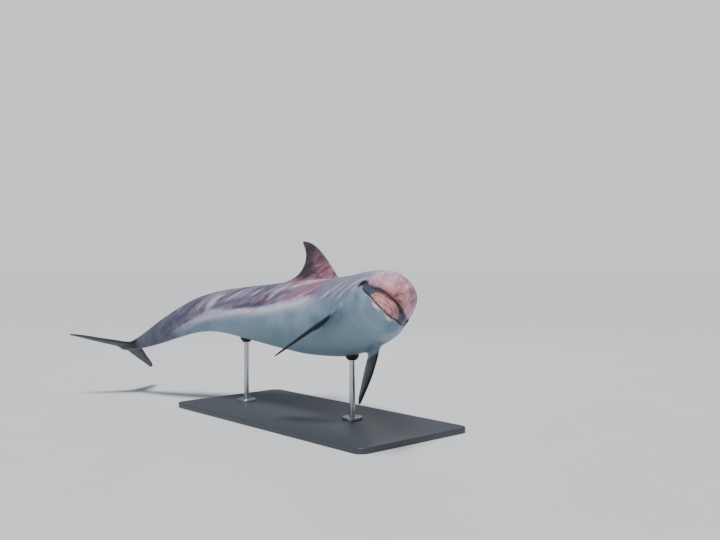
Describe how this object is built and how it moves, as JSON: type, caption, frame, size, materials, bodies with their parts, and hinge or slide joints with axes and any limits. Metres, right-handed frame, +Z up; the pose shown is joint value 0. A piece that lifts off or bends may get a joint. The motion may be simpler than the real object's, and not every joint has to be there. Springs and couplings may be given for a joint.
{
  "type": "bottlenose dolphin",
  "caption": "Life-size still model of a bottlenose dolphin banking to its right with a curved tail, held over a flat base on short rods.",
  "frame": {"origin": "centre of the display base's underside, on the floor", "axes": "+Z up, +X the way the trunk heads, so the animal's right flank faces -Y and its head turns towards -Y"},
  "size_m": [2.2198, 0.8797, 0.8149],
  "materials": {
    "skin": "smooth skin, slightly wet",
    "beak": "smooth skin, slightly wet",
    "fin_skin": "smooth skin, slightly wet",
    "eye": "wet gloss",
    "base_paint": "painted, satin",
    "rod_steel": "brushed",
    "cup_rubber": "matt"
  },
  "bodies": {
    "root": {"head": "skin", "melon": "skin", "beak": "beak", "lower_jaw": "skin", "neck": "skin", "trunk_front": "skin", "trunk_rear": "skin", "tail_stock": "skin", "fluke_left": "fin_skin", "fluke_right": "fin_skin", "dorsal_fin": "fin_skin", "flipper_left": "fin_skin", "flipper_right": "fin_skin", "eye_left": "eye", "eye_right": "eye", "stand_base": "base_paint", "stand_rod_front": "rod_steel", "stand_rod_rear": "rod_steel", "stand_foot_front": "rod_steel", "stand_foot_rear": "rod_steel", "stand_cup_front": "cup_rubber", "stand_cup_rear": "cup_rubber"}
  },
  "joints": []
}
